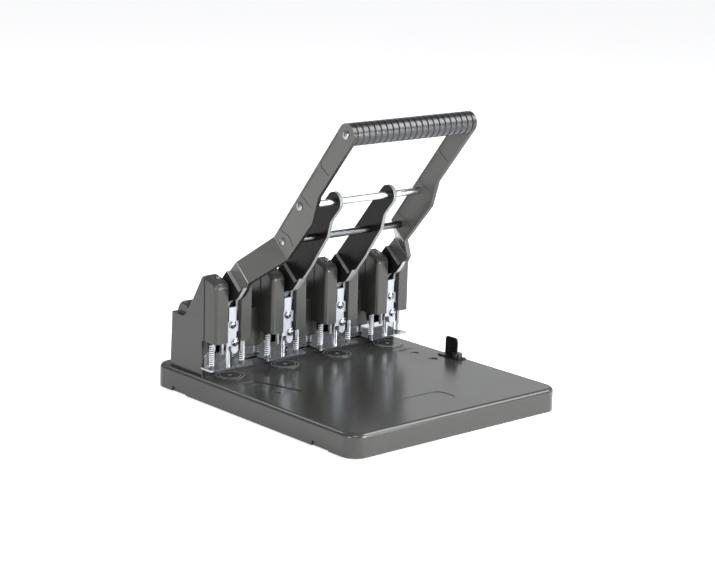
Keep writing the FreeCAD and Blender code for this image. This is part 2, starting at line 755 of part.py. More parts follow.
def front_bar(x):
    """Bright bar on the crosshead: tongue above, screw ear in the middle, clamp lug below."""
    z0 = STRIPPER_TOP
    back = PUNCH_Y - CROSS_FRONT
    front = back - BAR_THICK
    tongue = box(x - TONGUE_HALF, x + TONGUE_HALF, front, back, z0 + BAR_EAR_LOW, PIVOT_Z - TONGUE_DROP)
    body = box(x - BAR_LEFT, x + BAR_RIGHT, front, back, z0 + BAR_LOW, z0 + BAR_EAR_HIGH)
    ear = box(x - BAR_LEFT, x + BAR_EAR, front, back, z0 + BAR_EAR_LOW, z0 + BAR_EAR_HIGH)
    lug_z = z0 + LUG_LOW + LUG_RADIUS
    round_end = Part.makeCylinder(LUG_RADIUS, BAR_THICK, vector(x + LUG_X, front, lug_z), Y_AXIS)
    lug = box(x + LUG_X - LUG_RADIUS, x + LUG_X + LUG_RADIUS, front, back, lug_z, z0 + SCREW_LOW + LUG_RADIUS)
    return fused([tongue, body, ear, round_end, lug])


def domed_head(radius, height, seat, outward):
    """Pan head of a screw: a low rim under a spherical dome, turned about its axis."""
    across = Z_AXIS
    rise = height / 2
    ball = (radius * radius + rise * rise) / height
    half_angle = math.asin(radius / ball) / 2
    rim = seat + across * radius
    shoulder = rim + outward * rise
    crown = seat + outward * height
    middle = crown + across * (ball * math.sin(half_angle)) - outward * (ball * (1 - math.cos(half_angle)))
    edges = [
        Part.LineSegment(seat, rim).toShape(),
        Part.LineSegment(rim, shoulder).toShape(),
        Part.Arc(shoulder, middle, crown).toShape(),
        Part.LineSegment(crown, seat).toShape(),
    ]
    return Part.Face(Part.Wire(edges)).revolve(seat, outward, 360)


def bar_screws(x):
    """Two pan-head screws of the front bar."""
    front = PUNCH_Y - CROSS_FRONT - BAR_THICK
    places = ((x, SCREW_HIGH), (x + LUG_X, SCREW_LOW))
    seats = [vector(place_x, front, STRIPPER_TOP + height) for place_x, height in places]
    heads = [domed_head(SCREW_HEAD_RADIUS, SCREW_HEAD_HEIGHT, seat, -Y_AXIS) for seat in seats]
    return Part.makeCompound(heads)


# Handle


def arm_direction():
    """Direction of the lower arm away from the pivot, as parts along Y and Z."""
    turn = math.radians(ARM_ANGLE)
    return -math.cos(turn), math.sin(turn)


def handle_profile(inner):
    """Outline of an arm in Y and Z, from its upper end down to the hub."""
    front_shares = EYE_FRONT_SHARES if inner else FRONT_EDGE_SHARES
    front = [lever_point(shares) for shares in front_shares]
    rear = [lever_point(shares) for shares in (EYE_REAR_SHARES if inner else REAR_EDGE_SHARES)]
    toe = [lever_point(shares) for shares in TOE_SHARES]
    hub_low = (PIVOT_Y, PIVOT_Z - HUB_RADIUS)
    centre = lever_point(UPPER_ROD_SHARES) if inner else (GRIP_Y, GRIP_Z)
    radius = ARM_EYE_RADIUS if inner else ARM_BOSS_RADIUS
    top_front = tangent_point(centre, radius, front[0], 1)
    top_rear = tangent_point(centre, radius, rear[0], -1)
    hub_rear = tangent_point((PIVOT_Y, PIVOT_Z), HUB_RADIUS, rear[-1], 1)
    return [top_rear, top_front] + front + toe + [hub_low, hub_rear] + rear[::-1]


def tangent_point(centre, radius, outside, side):
    """Where a line from a point outside touches a circle, on one of its sides."""
    dy = outside[0] - centre[0]
    dz = outside[1] - centre[1]
    distance = math.hypot(dy, dz)
    turn = math.atan2(dz, dy) + side * math.acos(radius / distance) * -1
    return centre[0] + radius * math.cos(turn), centre[1] + radius * math.sin(turn)


def arm_blank(inner, x0, x1):
    """Arm outline with its round ends, as a thick block between two places on X."""
    centre = lever_point(UPPER_ROD_SHARES) if inner else (GRIP_Y, GRIP_Z)
    radius = ARM_EYE_RADIUS if inner else ARM_BOSS_RADIUS
    block = side_plate(handle_profile(inner), x0, x1)
    top = shaft(radius, x0, x1, centre[0], centre[1])
    hub = shaft(HUB_RADIUS, x0, x1, PIVOT_Y, PIVOT_Z)
    return fused([block, top, hub])


def jogged_sheet(x, step):
    """Sheet seen on edge: flat at the head, stepped sideways between two folds, flat to the grip."""
    run_y, run_z = arm_direction()
    reach = GRIP_FORWARD + GRIP_RISE
    slope = math.atan2(abs(step), JOG_END - JOG_START)
    shift = ARM_THICK * math.tan(slope / 2)
    if step < 0:
        shift = -shift
    near = [(-reach, 0), (JOG_START, 0), (JOG_END, step), (reach, step)]
    far = [
        (reach, step + ARM_THICK),
        (JOG_END - shift, step + ARM_THICK),
        (JOG_START - shift, ARM_THICK),
        (-reach, ARM_THICK),
    ]
    corners = []
    for along, aside in near + far:
        y = PIVOT_Y + run_y * along - run_z * reach
        z = PIVOT_Z + run_z * along + run_y * reach
        corners.append(vector(x + aside, y, z))
    face = Part.Face(Part.makePolygon(corners + corners[:1]))
    return face.extrude(vector(0, run_z, -run_y) * (2 * reach))


def arm_panels(x_face):
    """Shallow recesses pressed into the left face of an outer arm."""
    regions = (GRIP_PANEL_SHARES, UPPER_PANEL_SHARES, LOWER_PANEL_SHARES)
    low = x_face - OVERRUN
    high = x_face + ARM_PANEL_SINK
    return [side_plate([lever_point(shares) for shares in region], low, high) for region in regions]


def rod_places():
    """Places of the upper and the lower rod in Y and Z."""
    return [lever_point(UPPER_ROD_SHARES), lever_point(LOWER_ROD_SHARES)]


def arm(index):
    """One arm of the handle: the outer two reach the grip, the inner two end at the upper rod."""
    x = head_xs()[index]
    inner = 0 < index < HEAD_COUNT - 1
    step = 0
    if index == 0:
        step = ARM_JOG
    if index == HEAD_COUNT - 1:
        step = -ARM_JOG
    wide = ARM_JOG + ARM_THICK + OVERRUN
    if inner:
        plate = arm_blank(True, x, x + ARM_THICK)
    else:
        plate = arm_blank(False, x - wide, x + wide).common(jogged_sheet(x, step))
    cuts = [shaft(PIVOT_RADIUS + RUNNING_GAP, x - wide, x + wide, PIVOT_Y, PIVOT_Z)]
    pin_y, pin_z = polar(CRANK_RADIUS, CRANK_ANGLE)
    cuts.append(shaft(CRANK_PIN_RADIUS + SEAT_GAP, x - OVERRUN, x + ARM_THICK + OVERRUN, pin_y, pin_z))
    for y, z in rod_places():
        cuts.append(shaft(ROD_RADIUS + SEAT_GAP, x - wide, x + wide, y, z))
    if not inner:
        cuts.append(shaft(GRIP_BAR_RADIUS + SEAT_GAP, x - wide, x + wide, GRIP_Y, GRIP_Z))
        cuts += arm_panels(x + step)
    return plate.cut(cuts)


def crank_plate(x):
    """Thick plate beside an arm's lower end, with the riveted crank pin."""
    rear, front = [lever_point(shares) for shares in STRIP_SHARES]
    toe = [lever_point(shares) for shares in TOE_SHARES]
    hub_low = (PIVOT_Y, PIVOT_Z - HUB_RADIUS)
    hub_rear = tangent_point((PIVOT_Y, PIVOT_Z), HUB_RADIUS, rear, 1)
    block = side_plate([rear, front] + toe + [hub_low, hub_rear], x - CRANK_PLATE_THICK, x)
    hub = shaft(HUB_RADIUS, x - CRANK_PLATE_THICK, x, PIVOT_Y, PIVOT_Z)
    bore = shaft(PIVOT_RADIUS + RUNNING_GAP, x - CRANK_PLATE_THICK - OVERRUN, x + OVERRUN, PIVOT_Y, PIVOT_Z)
    pin_y, pin_z = polar(CRANK_RADIUS, CRANK_ANGLE)
    pin = shaft(CRANK_PIN_RADIUS, x - CRANK_PLATE_THICK, x + CRANK_PIN_END, pin_y, pin_z)
    return fused([fused([block, hub]).cut(bore), pin])


def cross_bar(radius, y, z):
    """Round bar from the outer face of one outer arm to that of the other."""
    return shaft(radius, ARM_LEFT, ARM_RIGHT, y, z)


def grip():
    """Ribbed sleeve on the grip bar, turned from one profile, with a plain collar at each end."""
    start = ARM_LEFT + ARM_THICK
    end = ARM_RIGHT - ARM_THICK
    pitch = (end - start - 2 * GRIP_COLLAR) / (GRIP_GROOVES - 1)
    bore = GRIP_BAR_RADIUS + SEAT_GAP
    profile = [(start, bore), (start, GRIP_RADIUS - GRIP_EDGE), (start + GRIP_EDGE, GRIP_RADIUS)]
    for index in range(GRIP_GROOVES):
        middle = start + GRIP_COLLAR + index * pitch
        profile.append((middle - GRIP_GROOVE_WIDTH / 2, GRIP_RADIUS))
        profile.append((middle, GRIP_RADIUS - GRIP_GROOVE_DEPTH))
        profile.append((middle + GRIP_GROOVE_WIDTH / 2, GRIP_RADIUS))
    profile += [(end - GRIP_EDGE, GRIP_RADIUS), (end, GRIP_RADIUS - GRIP_EDGE), (end, bore)]
    corners = [vector(x, GRIP_Y, GRIP_Z + radius) for x, radius in profile]
    face = Part.Face(Part.makePolygon(corners + corners[:1]))
    return face.revolve(vector(0, GRIP_Y, GRIP_Z), X_AXIS, 360)


def handle_screws():
    """Domed screws at both ends of the rods and the grip bar."""
    screws = []
    for y, z in rod_places() + [(GRIP_Y, GRIP_Z)]:
        for x, outward in ((ARM_LEFT, -X_AXIS), (ARM_RIGHT, X_AXIS)):
            screws.append(domed_head(RIVET_RADIUS, RIVET_HEIGHT, vector(x, y, z), outward))
    return Part.makeCompound(screws)


# Covers and rear housing


def arc_wire_plate(segments, x0, x1):
    """Plate along X from a closed chain of lines and arcs given as points in Y and Z."""
    edges = []
    for segment in segments:
        corners = [vector(x0, y, z) for y, z in segment]
        if len(corners) == 2:
            edges.append(Part.LineSegment(corners[0], corners[1]).toShape())
        else:
            edges.append(Part.Arc(corners[0], corners[1], corners[2]).toShape())
    return Part.Face(Part.Wire(edges)).extrude(vector(x1 - x0, 0, 0))


def bulged(start, end, corner, share):
    """Middle point of an arc between two points, pushed towards a corner."""
    middle_y = (start[0] + end[0]) / 2
    middle_z = (start[1] + end[1]) / 2
    return middle_y + (corner[0] - middle_y) * share, middle_z + (corner[1] - middle_z) * share


def cover_block(inset, half, front_low):
    """Block with the cover's side view, drawn in by an inset."""
    front = COVER_FRONT + inset
    run = COVER_HEEL_Y - COVER_SLOPE_Y
    drop = COVER_SLOPE_Z - HOUSING_LEDGE
    length = math.hypot(run, drop)
    shoulder = (front, COVER_SHOULDER - inset)
    brow = (COVER_BROW_Y, COVER_BROW_Z - inset)
    crest = (COVER_CREST_Y - inset / 2, COVER_CREST_Z - inset)
    slope = (COVER_SLOPE_Y - inset * drop / length, COVER_SLOPE_Z - inset * run / length)
    heel = (COVER_HEEL_Y - inset * length / drop, HOUSING_LEDGE)
    step = (HOUSING_FRONT, HOUSING_LEDGE)
    low = (HOUSING_FRONT, front_low)
    toe = (front, front_low)
    bend = bulged(shoulder, brow, (front, COVER_BROW_Z - inset), BROW_BULGE_SHARE)
    turn = bulged(crest, slope, (COVER_SLOPE_Y - 2 * inset, COVER_CREST_Z - inset), SLOPE_BULGE_SHARE)
    chain = [
        (toe, shoulder),
        (shoulder, bend, brow),
        (brow, crest),
        (crest, turn, slope),
        (slope, heel),
        (heel, step),
        (step, low),
        (low, toe),
    ]
    return arc_wire_plate(chain, -half, half)


def rounded_cover(inset, edge):
    """Cover shape drawn in by an inset, with its outer side edges rounded."""
    half = COVER_HALF - inset
    block = cover_block(inset, half, COVER_LOW)
    sides = [e for e in block.Edges if abs(abs(e.BoundBox.Center.x) - half) < SEAT_GAP]
    return block.makeFillet(edge, [e for e in sides if e.BoundBox.ZMax > HOUSING_LEDGE + OVERRUN])


def head_cover(x):
    """Moulded cover of one head: two round lobes in front of a hood, hollow, with an open slot."""
    reach = COVER_HALF + OVERRUN
    low = COVER_LOW - 2 * OVERRUN
    high = COVER_CREST_Z + OVERRUN
    ahead = box(-reach, reach, COVER_FRONT - OVERRUN, COVER_CREASE_Y, low, high)
    lobes = rounded_cover(COVER_STEP, COVER_LOBE_EDGE).common(ahead)
    hood = rounded_cover(0, COVER_HOOD_EDGE).cut(ahead)
    hollow = cover_block(COVER_WALL, COVER_HALF - COVER_WALL, COVER_LOW - OVERRUN)
    slot_wall = COVER_SLOT_HALF + COVER_SLOT_WALL
    slot_end = COVER_SLOT_BACK + COVER_SLOT_WALL
    hollow = hollow.cut(box(-slot_wall, slot_wall, COVER_FRONT, slot_end, low, high))
    slot = box(-COVER_SLOT_HALF, COVER_SLOT_HALF, COVER_FRONT - OVERRUN, COVER_SLOT_BACK, low, high)
    bore = shaft(PIVOT_RADIUS + SIDE_GAP, -slot_wall - OVERRUN, slot_wall + OVERRUN, PIVOT_Y, PIVOT_Z)
    front = PUNCH_Y - CROSS_FRONT - SIDE_GAP
    back = PUNCH_Y + CROSS_BACK + SIDE_GAP
    aside = POST_OFFSET_X + CROSS_END_RADIUS + SIDE_GAP
    pocket = box(-aside, aside, front, back, low, CROSS_TOP + SIDE_GAP)
    cover = fused([lobes, hood]).cut([hollow, slot, bore, pocket])
    cover.translate(vector(x, 0, 0))
    return cover


def housing_block(inset):
    """Block with the side view of the housing's end walls, drawn in by an inset."""
    front = HOUSING_FRONT + inset
    top = HOUSING_LEDGE - inset
    low = BASE_TOP - (OVERRUN if inset else 0)
    ledge = (COVER_HEEL_Y - inset, top)
    valley = (HOUSING_VALLEY_Y, HOUSING_VALLEY_Z - inset)
    rear = (HOUSING_BACK - HOUSING_REAR_LEAN - inset, HOUSING_REAR_TOP - inset)
    heel = (HOUSING_BACK - inset, low)
    half = HOUSING_HALF - inset
    dip = bulged(ledge, valley, (ledge[0], valley[1]), BROW_BULGE_SHARE)
    chain = [
        ((front, low), (front, top)),
        ((front, top), ledge),
        (ledge, dip, valley),
        (valley, rear),
        (rear, heel),
        (heel, (front, low)),
    ]
    return arc_wire_plate(chain, -half, half)


def hump_block(inset):
    """Block with the side view of the hump between the end walls, drawn in by an inset."""
    front = (HUMP_FRONT_Y + inset, HUMP_FRONT_Z - inset)
    crown = (HUMP_CROWN_Y, HUMP_CROWN_Z - inset)
    back = (HUMP_BACK_Y - inset, HUMP_BACK_Z - inset)
    low = HUMP_LOW - 2 * inset
    half = HOUSING_HALF - HUMP_END - inset
    chain = [
        ((front[0], low), front),
        (front, crown, back),
        (back, (back[0], low)),
        ((back[0], low), (front[0], low)),
    ]
    return arc_wire_plate(chain, -half, half)


def rear_housing():
    """Long moulded housing behind the heads, open below and at each head."""
    block = housing_block(0)
    sides = [e for e in block.Edges if abs(abs(e.BoundBox.Center.x) - HOUSING_HALF) < SEAT_GAP]
    rear = [e for e in sides if e.BoundBox.YMin > HOUSING_BACK - HOUSING_REAR_LEAN - OVERRUN]
    block = block.makeFillet(HOUSING_CORNER, rear)
    hump = hump_block(0)
    end = HOUSING_HALF - HUMP_END
    ends = [e for e in hump.Edges if abs(abs(e.BoundBox.Center.x) - end) < SEAT_GAP]
    hump = hump.makeFillet(HUMP_EDGE, [e for e in ends if e.BoundBox.ZMax > HUMP_LOW + OVERRUN])
    cuts = [housing_block(HOUSING_WALL), hump_block(HOUSING_WALL)]
    inner = HOUSING_HALF - HOUSING_WALL
    front = HOUSING_FRONT - OVERRUN
    behind = HOUSING_FRONT + HOUSING_WALL + OVERRUN
    cuts.append(box(-inner, inner, front, behind, BASE_TOP - OVERRUN, RAIL_TOP))
    high = HOUSING_LEDGE + OVERRUN
    for x in head_xs():
        x0 = x - HOUSING_WINDOW_HALF
        x1 = x + HOUSING_WINDOW_HALF
        cuts.append(box(x0, x1, front, HOUSING_WINDOW_BACK, BASE_TOP + OVERRUN, high))
    return fused([block, hump]).cut(cuts)


# Paper guide


def paper_guide():
    """Bent steel guide for the paper's edge: an upright leaf and a slotted tab."""
    face = GUIDE_FACE_X
    outer = face + GUIDE_THICK
    leaf = box(face, outer, GUIDE_BACK - GUIDE_LENGTH, GUIDE_BACK, BASE_TOP, BASE_TOP + GUIDE_HEIGHT)
    corners = [e for e in leaf.Edges if is_along(e, X_AXIS) and e.BoundBox.ZMin > BASE_TOP + SEAT_GAP]
    leaf = leaf.makeFillet(GUIDE_CORNER, corners)
    tab_front = GUIDE_BACK - GUIDE_LENGTH - GUIDE_TAB_FRONT
    tab = box(face - GUIDE_TAB_INNER, outer, tab_front, GUIDE_BACK, BASE_TOP, BASE_TOP + GUIDE_THICK)
    low = BASE_TOP - OVERRUN
    high = BASE_TOP + GUIDE_THICK + OVERRUN
    near = THUMB_X - GUIDE_TRAVEL / 2
    far = THUMB_X + GUIDE_TRAVEL / 2
    ends = [post(GUIDE_SLOT_RADIUS, x, -THUMB_Y, low, high) for x in (near, far)]
    middle = box(near, far, -THUMB_Y - GUIDE_SLOT_RADIUS, -THUMB_Y + GUIDE_SLOT_RADIUS, low, high)
    return fused([leaf, tab]).cut(ends + [middle])


def guide_screw():
    """Knurled thumb screw that clamps the guide."""
    low = BASE_TOP + GUIDE_THICK + RUNNING_GAP
    knob = post(THUMB_RADIUS, THUMB_X, -THUMB_Y, low, low + THUMB_HEIGHT)
    notches = []
    for index in range(THUMB_FLATS):
        angle = math.tau * index / THUMB_FLATS
        x = THUMB_X + THUMB_RADIUS * math.cos(angle)
        y = -THUMB_Y + THUMB_RADIUS * math.sin(angle)
        notches.append(post(THUMB_NOTCH, x, y, low - OVERRUN, low + THUMB_HEIGHT + OVERRUN))
    shank = post(THUMB_SHANK_RADIUS, THUMB_X, -THUMB_Y, low - THUMB_SHANK, low + OVERRUN)
    return fused([knob.cut(notches), shank])


def build_nodes():
    """All sub-parts by name."""
    nodes = {
        "base_cover": base_cover(),
        "base_plate": base_plate(),
        "chip_tray": chip_tray(),
        "feet": feet(),
        "rear_housing": rear_housing(),
        "frame_rail": frame_rail(),
        "back_stop": back_stop(),
        "pivot_pins": pivot_pins(),
        "guide_posts": guide_posts(),
        "upper_rod": cross_bar(ROD_RADIUS, *rod_places()[0]),
        "lower_rod": cross_bar(ROD_RADIUS, *rod_places()[1]),
        "grip_bar": cross_bar(GRIP_BAR_RADIUS, GRIP_Y, GRIP_Z),
        "grip": grip(),
        "handle_screws": handle_screws(),
        "paper_guide": paper_guide(),
        "guide_screw": guide_screw(),
    }
    makers = {
        "die_disc": die_disc,
        "stripper_plate": stripper_plate,
        "head_frame": head_frame,
        "head_cover": head_cover,
        "return_springs": return_springs,
        "carriage": carriage,
        "punch_pin": punch_pin,
        "front_bar": front_bar,
        "bar_screws": bar_screws,
        "crank_plate": crank_plate,
    }
    for index, x in enumerate(head_xs()):
        for name, maker in makers.items():
            nodes[f"{name}_{index + 1}"] = maker(x)
        nodes[f"arm_{index + 1}"] = arm(index)
    return nodes


def main():
    """Writes one STEP file per sub-part."""
    os.makedirs("parts", exist_ok=True)
    for name, shape in build_nodes().items():
        if not shape.isValid():
            print("not valid:", name)
        shape.exportStep(f"parts/{name}.step")
    print("least gap between spring turns, mm:", round(spring_gap(), 2))


main()
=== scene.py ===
"""Looks of a four-hole lever punch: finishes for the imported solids, its screws, its springs and
the small marks of its mouldings, in a pale studio. Lengths are in metres unless a name ends in mm.
"""

import logging
import math
from dataclasses import dataclass, field
from enum import Enum

import bmesh
import bpy
from mathutils import Matrix, Vector


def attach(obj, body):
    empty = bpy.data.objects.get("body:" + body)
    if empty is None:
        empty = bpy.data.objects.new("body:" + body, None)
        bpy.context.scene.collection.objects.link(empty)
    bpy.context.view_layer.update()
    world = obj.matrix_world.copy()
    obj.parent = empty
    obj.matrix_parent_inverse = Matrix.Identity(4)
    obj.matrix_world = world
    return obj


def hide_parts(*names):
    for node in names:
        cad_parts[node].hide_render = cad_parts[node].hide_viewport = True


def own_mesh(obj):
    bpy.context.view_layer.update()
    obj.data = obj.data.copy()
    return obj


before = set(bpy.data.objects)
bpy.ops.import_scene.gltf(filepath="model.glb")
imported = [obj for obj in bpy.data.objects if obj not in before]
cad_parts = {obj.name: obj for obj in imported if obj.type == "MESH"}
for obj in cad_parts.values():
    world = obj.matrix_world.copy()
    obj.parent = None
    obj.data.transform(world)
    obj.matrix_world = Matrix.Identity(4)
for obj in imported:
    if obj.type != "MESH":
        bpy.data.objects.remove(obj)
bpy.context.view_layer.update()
LOG = logging.getLogger("lever_punch")
MM = 0.001
HEAD_NUMBERS = (1, 2, 3, 4)
INNER_ARMS = (2, 3)
HEAD_PITCH = 80 * MM
WHITE = "#ffffff"
# Places of the colour sockets on a Mix node, which share their names with its other kinds of socket.
MIX_FIRST, MIX_SECOND, MIX_RESULT = 6, 7, 2

Pair = tuple[float, float]
Point = tuple[float, float, float]
Colour = tuple[float, float, float, float]


class Axis(Enum):
    """Direction that a fastener's head faces."""

    FRONT = (0.0, -1.0, 0.0)
    LEFT = (-1.0, 0.0, 0.0)
    RIGHT = (1.0, 0.0, 0.0)


def linear(hex_colour: str) -> Colour:
    """Turns an sRGB hex value into a linear colour.

    Args:
        hex_colour: Six hex digits after a hash sign.

    Returns:
        Linear red, green and blue, and an alpha of one.
    """
    parts = [int(hex_colour[i : i + 2], 16) / 255 for i in (1, 3, 5)]
    red, green, blue = (p / 12.92 if p <= 0.04045 else ((p + 0.055) / 1.055) ** 2.4 for p in parts)
    return red, green, blue, 1.0


def add_node(
    tree: bpy.types.NodeTree,
    kind: str,
    settings: dict[str, object] | None = None,
    inputs: dict[str | int, object] | None = None,
) -> bpy.types.Node:
    """Adds one shader node, sets its properties, and fills or links its inputs.

    Args:
        tree: Node tree that gets the node.
        kind: Node type name.
        settings: Property names and their values.
        inputs: Input names or numbers, each with a value or an output socket.

    Returns:
        The new node.
    """
    node = tree.nodes.new(kind)
    for name, value in (settings or {}).items():
        setattr(node, name, value)
    for name, value in (inputs or {}).items():
        if isinstance(value, bpy.types.NodeSocket):
            tree.links.new(value, node.inputs[name])
        else:
            node.inputs[name].default_value = value
    return node


@dataclass(frozen=True)
class Finish:
    """One real finish: its colour, its gloss and the grain of its surface.

    The detail values say how fine the clouds and the grain are, and the cloud range which part of the noise
    makes the gloss uneven. The edge range says how far a face may turn away from X before it counts as a
    sheared edge; the edge colour paints light or shade onto those edges.
    """

    name: str
    colour: str
    shade: str
    roughness: float
    metallic: float = 0.0
    ior: float = 1.5
    grain_mm: float = 0.6
    grain_depth_mm: float = 0.01
    cloud_mm: float = 40.0
    gloss_spread: float = 0.05
    stretch: Point = (1.0, 1.0, 1.0)
    edge: str = ""
    specular: float = 0.5
    cloud_detail: float = 3.0
    grain_detail: float = 2.0
    cloud_range: Pair = (0.3, 0.7)
    edge_range: Pair = (0.35, 0.5)

    def edged(self, tree: bpy.types.NodeTree, face: bpy.types.NodeSocket) -> bpy.types.NodeSocket:
        """Paints light or shade onto the sheared edges of a plate, whose faces do not look along X.

        Args:
            tree: Node tree of the material.
            face: Colour of the plate's broad faces.

        Returns:
            The colour with the edges in it.
        """
        normal = add_node(tree, "ShaderNodeTexCoord").outputs["Normal"]
        parts = add_node(tree, "ShaderNodeSeparateXYZ", inputs={0: normal})
        size = add_node(tree, "ShaderNodeMath", {"operation": "ABSOLUTE"}, {0: parts.outputs["X"]})
        near, far = self.edge_range
        fade = {"Value": size.outputs[0], "From Min": near, "From Max": far, "To Min": 1.0, "To Max": 0.0}
        share = add_node(tree, "ShaderNodeMapRange", inputs=fade).outputs["Result"]
        return self.mixed(tree, share, face, linear(self.edge))

    def noise(
        self, tree: bpy.types.NodeTree, place: bpy.types.NodeSocket, size_mm: float, detail: float
    ) -> bpy.types.NodeSocket:
        """Adds a noise of one size.

        Args:
            tree: Node tree of the material.
            place: Where the noise is read.
            size_mm: Size of its lumps in millimetres.
            detail: How many finer layers it has.

        Returns:
            The noise's strength.
        """
        inputs = {"Vector": place, "Scale": 1 / (size_mm * MM), "Detail": detail}
        return add_node(tree, "ShaderNodeTexNoise", inputs=inputs).outputs["Fac"]

    def mixed(
        self,
        tree: bpy.types.NodeTree,
        share: bpy.types.NodeSocket,
        first: Colour | bpy.types.NodeSocket,
        second: Colour | bpy.types.NodeSocket,
    ) -> bpy.types.NodeSocket:
        """Mixes two colours.

        Args:
            tree: Node tree of the material.
            share: Share of the second colour.
            first: First colour, a value or a socket.
            second: Second colour, a value or a socket.

        Returns:
            The mixed colour.
        """
        inputs = {"Factor": share, MIX_FIRST: first, MIX_SECOND: second}
        return add_node(tree, "ShaderNodeMix", {"data_type": "RGBA"}, inputs).outputs[MIX_RESULT]

    def build(self) -> bpy.types.Material:
        """Makes the material: clouded colour, uneven gloss and a fine grain."""
        material = bpy.data.materials.new(self.name)
        material.use_nodes = True
        tree = material.node_tree
        tree.nodes.clear()
        place = add_node(tree, "ShaderNodeTexCoord").outputs["Object"]
        stretched = {"Vector": place, "Scale": self.stretch}
        along = add_node(tree, "ShaderNodeMapping", inputs=stretched).outputs["Vector"]
        cloud = self.noise(tree, along, self.cloud_mm, self.cloud_detail)
        grain = self.noise(tree, along, self.grain_mm, self.grain_detail)
        paint = self.mixed(tree, cloud, linear(self.colour), linear(self.shade))
        low, high = self.cloud_range
        spread = {"Value": cloud, "From Min": low, "From Max": high}
        spread |= {"To Min": self.roughness - self.gloss_spread, "To Max": self.roughness + self.gloss_spread}
        gloss = add_node(tree, "ShaderNodeMapRange", inputs=spread)
        relief = {"Height": grain, "Distance": self.grain_depth_mm * MM, "Strength": 1.0}
        bump = add_node(tree, "ShaderNodeBump", inputs=relief)
        if self.edge:
            paint = self.edged(tree, paint)
        shader = add_node(
            tree,
            "ShaderNodeBsdfPrincipled",
            inputs={
                "Base Color": paint,
                "Roughness": gloss.outputs["Result"],
                "Metallic": self.metallic,
                "IOR": self.ior,
                "Specular IOR Level": self.specular,
                "Normal": bump.outputs["Normal"],
            },
        )
        add_node(tree, "ShaderNodeOutputMaterial", inputs={"Surface": shader.outputs["BSDF"]})
        return material


# Moulded charcoal ABS, polished: it mirrors its surroundings softly and falls to near black in shade.
COVER_ABS = Finish(
    "charcoal_abs", "#363734", "#30312f", 0.22, grain_mm=0.5, grain_depth_mm=0.0006, gloss_spread=0.01
)
# Glossy powder coat on steel: an even skin with a very fine orange peel; painted shade darkens its sheared
# edges.
ARM_COAT = Finish(
    "grey_powder_coat", "#545552", "#4d4e4b", 0.25, grain_depth_mm=0.0015, gloss_spread=0.02, edge="#1b1b1a"
)
# The inner arms: the arm coat painted darker and browner as shade, with a painted highlight along the sheared
# edges.
SHADED_INNER_COAT = Finish(
    "shaded_powder_coat",
    "#171412",
    "#13110f",
    0.25,
    grain_depth_mm=0.002,
    gloss_spread=0.02,
    edge="#7c7f80",
    specular=0.2,
)
# Painted highlight along a fold, where the bend catches the light.
FOLD_HIGHLIGHT = Finish("fold_highlight_paint", "#a9acaa", "#979a99", 0.30, grain_depth_mm=0.002)
# Phosphated steel of the crank plates and carriages: dark broad faces; the sheared edges are painted pale as
# a highlight.
PHOSPHATE = Finish(
    "phosphated_steel", "#1c1a1a", "#151414", 0.35, 0.3, grain_mm=0.5, cloud_mm=12.0, edge="#a2a5a4"
)
# Black stoving enamel on sheet steel: a hard, glossy skin.
ENAMEL = Finish("black_enamel", "#121314", "#0e0f10", 0.28, grain_mm=1.5, grain_depth_mm=0.004)
# Nickel plate on rolled steel: clear reflections, faint rolling lines along X.
NICKEL = Finish(
    "nickel_plate",
    "#b4b6b9",
    "#a5a7aa",
    0.10,
    1.0,
    grain_mm=0.35,
    grain_depth_mm=0.0008,
    stretch=(0.05, 1.0, 1.0),
)
# Zinc plate with a grey passivated film: duller than nickel, and its reflections scatter.
ZINC = Finish("zinc_plate", "#85888b", "#74777a", 0.28, 1.0, cloud_mm=9.0, grain_depth_mm=0.002)
# Ground tool steel: fine rings round the pin from the grinding wheel.
TOOL_STEEL = Finish(
    "ground_tool_steel", "#c6c9cc", "#aaaeb2", 0.22, 1.0, grain_mm=0.3, stretch=(0.1, 0.1, 1.0)
)
# Zinc-plated music wire, painted pale all round as a highlight, so that the turns read bright even in the
# shade under a cover.
SPRING_WIRE = Finish("spring_wire", "#f2f3f5", "#dfe1e4", 0.35, 0.4, grain_mm=0.3, grain_depth_mm=0.001)
# Steel of the guide posts and the lower rod, painted dark as shade, between the bright turns of the springs.
SHADED_ROD_STEEL = Finish("shaded_rod_steel", "#67696b", "#555759", 0.30, 1.0, grain_mm=0.4, grain_depth_mm=0.001)
# Drawn rod, polished along its length: one soft bright line under each light.
POLISHED_ROD = Finish(
    "polished_rod",
    "#d2d5d8",
    "#c8cbce",
    0.30,
    1.0,
    grain_mm=0.8,
    grain_depth_mm=0.0001,
    stretch=(0.05, 1.0, 1.0),
)
# Satin nickel of the front bars: it scatters the light and stays pale even where it faces something dark.
SATIN_NICKEL = Finish("satin_nickel", "#a1a6ae", "#959aa2", 0.32, 0.6, grain_mm=0.4, grain_depth_mm=0.001)
# Pale rings on the discs: painted highlights along the rim, an inner ring and the centre.
DISC_HIGHLIGHT = Finish("disc_highlight_paint", "#a4a7a5", "#8d908e", 0.30, grain_mm=0.9, grain_depth_mm=0.002)
# Nylon cutting discs: dark, waxy and a little lighter than the base.
DISC_NYLON = Finish("dark_nylon", "#343635", "#2d2f2e", 0.24, grain_mm=0.9, grain_depth_mm=0.003)
# Nitrile rubber of the grip: black with a sheen along the ribs; the blue cast in its colour paints the cool
# tint of that sheen.
GRIP_RUBBER = Finish(
    "nitrile_rubber", "#0c0f15", "#090b10", 0.30, ior=1.62, grain_mm=0.7, grain_depth_mm=0.004
)
# Moulded rubber feet: matt and slightly dusty.
FOOT_RUBBER = Finish("foot_rubber", "#1d1d1d", "#272727", 0.75, grain_mm=1.0, grain_depth_mm=0.03)
# Black polypropylene of the knob and the chip tray.
BLACK_PP = Finish("black_polypropylene", "#151516", "#101011", 0.32, grain_mm=0.8, grain_depth_mm=0.004)
# Shade inside a recess, such as a screw's cross or the hollow round a sunk head.
RECESS = Finish("recess_shade", "#0b0b0c", "#080808", 0.6, grain_depth_mm=0.004)

